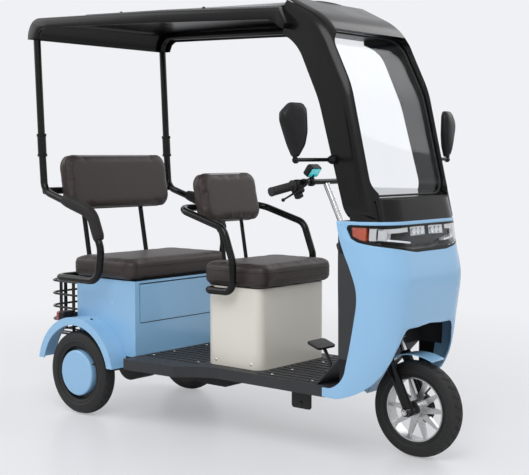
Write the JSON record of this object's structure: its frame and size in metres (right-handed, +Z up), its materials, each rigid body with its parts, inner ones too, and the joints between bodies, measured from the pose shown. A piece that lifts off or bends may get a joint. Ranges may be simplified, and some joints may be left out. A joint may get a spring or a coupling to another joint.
{
  "type": "electric passenger tricycle",
  "caption": "Covered three-wheeled electric vehicle with a windscreen nose, driver's seat on a battery box, rear bench over a storage body, and bent-tube arms and roof posts.",
  "frame": {"origin": "middle of the vehicle's length and width, on the ground under the tyres", "axes": "+X forward to the front wheel, +Y to the vehicle's left, +Z up"},
  "size_m": [2.032, 1.198, 1.7569],
  "materials": {
    "tyre": "matt",
    "cast_rim": "polished",
    "dark_rim": "satin",
    "blue_body": "gloss",
    "black_tube": "gloss",
    "black_gloss": "gloss",
    "grey_plastic": "matt",
    "black_plastic": "matt",
    "cream_box": "satin",
    "seat_leather": "soft grain",
    "clear_glass": "clear",
    "fork_steel": "polished",
    "frame_paint": "satin",
    "spring_steel": "brushed",
    "battery_case": "matt"
  },
  "bodies": {
    "chassis": {"chassis_frame": "frame_paint", "floor_board": "grey_plastic", "under_pan": "black_plastic", "rear_axle": "frame_paint", "rear_springs": "spring_steel", "rear_body": "blue_body", "rear_fender_right": "blue_body", "rear_fender_left": "blue_body", "rear_basket": "black_tube", "bench_frame": "black_tube", "bench_backrest": "seat_leather", "roof_frame": "black_tube", "roof_shell": "black_gloss", "windscreen_frame": "black_gloss", "windscreen_glass": "clear_glass", "nose_shell": "blue_body", "headlamp_housing": "black_gloss", "inner_leg_shield": "grey_plastic", "seat_box": "cream_box", "battery_block": "battery_case", "mirror_heads": "black_plastic", "mirror_stems": "black_tube"},
    "steering": {"fork": "fork_steel", "handlebar": "black_tube", "front_mudguard": "blue_body"},
    "front_wheel": {"front_tyre": "tyre", "front_rim": "cast_rim"},
    "rear_wheel_right": {"rear_tyre_right": "tyre", "rear_rim_right": "dark_rim", "rear_cover_right": "blue_body"},
    "rear_wheel_left": {"rear_tyre_left": "tyre", "rear_rim_left": "dark_rim", "rear_cover_left": "blue_body"},
    "driver_seat": {"seat_base": "black_plastic", "driver_cushion": "seat_leather", "driver_backrest": "seat_leather", "driver_hoop": "black_tube", "backrest_stays": "black_tube"},
    "bench_lid": {"bench_lid_board": "black_plastic", "bench_cushion": "seat_leather"},
    "storage_flap": {"storage_flap": "blue_body"}
  },
  "joints": [
    {"name": "steer", "type": "hinge", "parent": "chassis", "child": "steering", "pos_m": [0.81758, 0, 0.17831], "axis": [-0.4462, 0, 0.8949], "range_deg": [-35, 35]},
    {"name": "front_wheel_roll", "type": "hinge", "parent": "steering", "child": "front_wheel", "pos_m": [0.831, 0, 0.185], "axis": [0, 1, 0], "continuous": true},
    {"name": "rear_wheel_right_roll", "type": "hinge", "parent": "chassis", "child": "rear_wheel_right", "pos_m": [-0.699, -0.34, 0.185], "axis": [0, 1, 0], "continuous": true},
    {"name": "rear_wheel_left_roll", "type": "hinge", "parent": "chassis", "child": "rear_wheel_left", "pos_m": [-0.699, 0.34, 0.185], "axis": [0, 1, 0], "continuous": true},
    {"name": "driver_seat_tilt", "type": "hinge", "parent": "chassis", "child": "driver_seat", "pos_m": [0.235, 0, 0.61215], "axis": [0, 1, 0], "range_deg": [0, 35]},
    {"name": "bench_lid_tilt", "type": "hinge", "parent": "chassis", "child": "bench_lid", "pos_m": [-0.406, 0, 0.61215], "axis": [0, 1, 0], "range_deg": [0, 80]},
    {"name": "storage_flap_swing", "type": "hinge", "parent": "chassis", "child": "storage_flap", "pos_m": [-0.406, 0, 0.426], "axis": [0, 1, 0], "range_deg": [0, 90]}
  ]
}
